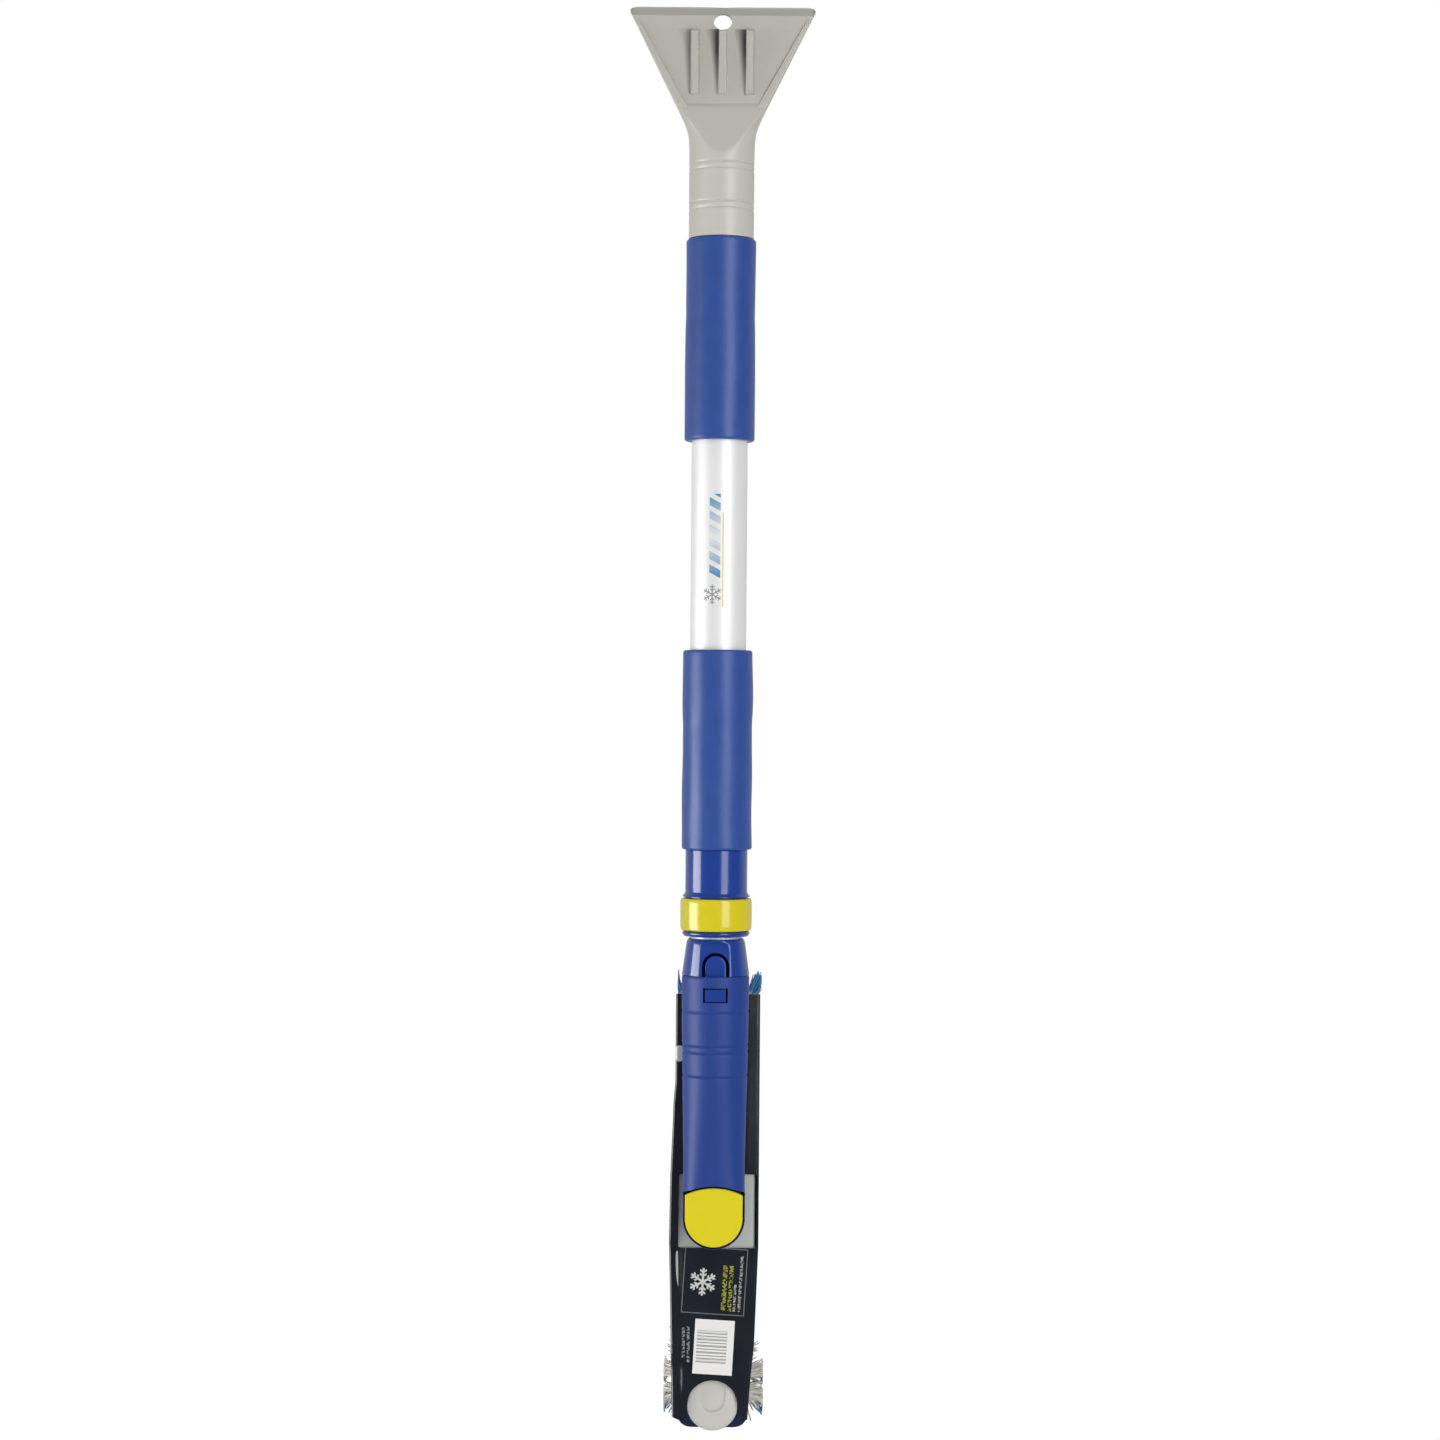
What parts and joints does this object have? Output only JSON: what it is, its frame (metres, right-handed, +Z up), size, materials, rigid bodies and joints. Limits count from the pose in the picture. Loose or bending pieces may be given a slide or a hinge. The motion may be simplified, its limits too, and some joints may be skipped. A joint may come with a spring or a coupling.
{
  "type": "windshield ice scraper",
  "caption": "Telescoping snow brush and ice scraper: wide scraper blade, foam-gripped twist-lock tube, detachable arm and push-button pivoting brush head in a card sleeve.",
  "frame": {"origin": "centre of the hang hole in the scraper blade, halfway through the blade", "axes": "+Z up along the handle towards the blade's edge, +Y towards the bristles and away from the pivot button, +X to the right when the button faces the viewer"},
  "size_m": [0.106, 0.134, 0.8186],
  "materials": {
    "grey_plastic": "satin",
    "pale_grey_plastic": "satin",
    "tube_aluminium": "satin",
    "foam": "matte",
    "gloss_blue": "gloss",
    "matte_blue": "satin",
    "yellow_gloss": "gloss",
    "yellow_matte": "matte",
    "steel": "satin",
    "navy_plastic": "satin",
    "bristle": "matte",
    "printed_card": "satin"
  },
  "bodies": {
    "handle": {"scraper_blade": "grey_plastic", "outer_tube": "tube_aluminium", "foam_grip_upper": "foam", "foam_grip_lower": "foam", "neck_screw": "steel", "lock_housing": "gloss_blue", "housing_rivet": "steel", "lock_end_ring": "gloss_blue"},
    "collar": {"lock_collar": "yellow_gloss"},
    "jaw": {"lock_jaw": "grey_plastic"},
    "extension": {"inner_tube": "tube_aluminium", "guide_plug": "grey_plastic", "adapter": "gloss_blue", "adapter_rivet": "steel", "arm_shell": "matte_blue", "pivot_bolt": "steel", "pivot_washer": "steel", "pivot_nut": "steel"},
    "tongue": {"release_tongue": "gloss_blue"},
    "button": {"pivot_button": "yellow_matte"},
    "head": {"head_spine": "pale_grey_plastic", "end_pad_upper": "grey_plastic", "end_pad_lower": "grey_plastic", "block_screw_upper": "steel", "block_screw_lower": "steel", "bristle_block": "navy_plastic", "bristle_row_1": "bristle", "bristle_row_2": "bristle", "bristle_row_3": "bristle", "bristle_row_4": "bristle", "button_spring": "steel"},
    "gear": {"lock_gear": "grey_plastic"},
    "sleeve": {"retail_sleeve": "printed_card"}
  },
  "joints": [
    {"name": "telescope", "type": "slide", "parent": "handle", "child": "extension", "axis": [0, 0, -1], "range_m": [0, 0.37]},
    {"name": "collar_twist", "type": "hinge", "parent": "handle", "child": "collar", "pos_m": [0, 0, -0.5095], "axis": [0, 0, 1], "range_deg": [0, 90]},
    {"name": "jaw_release", "type": "slide", "parent": "handle", "child": "jaw", "axis": [0, -1, 0], "range_m": [0, 0.0006]},
    {"name": "tongue_press", "type": "hinge", "parent": "extension", "child": "tongue", "pos_m": [0, -0.0156, -0.588], "axis": [-1, 0, 0], "range_deg": [0, 4], "stiffness_Nm_per_rad": 8},
    {"name": "button_press", "type": "slide", "parent": "extension", "child": "button", "axis": [0, 1, 0], "range_m": [0, 0.0045], "stiffness_N_per_m": 1200, "springref_m": -0.002},
    {"name": "head_pivot", "type": "hinge", "parent": "extension", "child": "head", "pos_m": [0, 0, -0.6815], "axis": [0, 1, 0], "range_deg": [-90, 90]},
    {"name": "gear_slide", "type": "slide", "parent": "head", "child": "gear", "axis": [0, 1, 0], "range_m": [0, 0.0045], "deforming": ["button_spring"]},
    {"name": "sleeve_off", "type": "slide", "parent": "head", "child": "sleeve", "axis": [0, 0, -1], "range_m": [0, 0.26]}
  ],
  "couplings": [
    {"joint": "jaw_release", "follows": "collar_twist", "m_per_rad": 0.000318},
    {"joint": "gear_slide", "follows": "button_press", "ratio": 1}
  ]
}
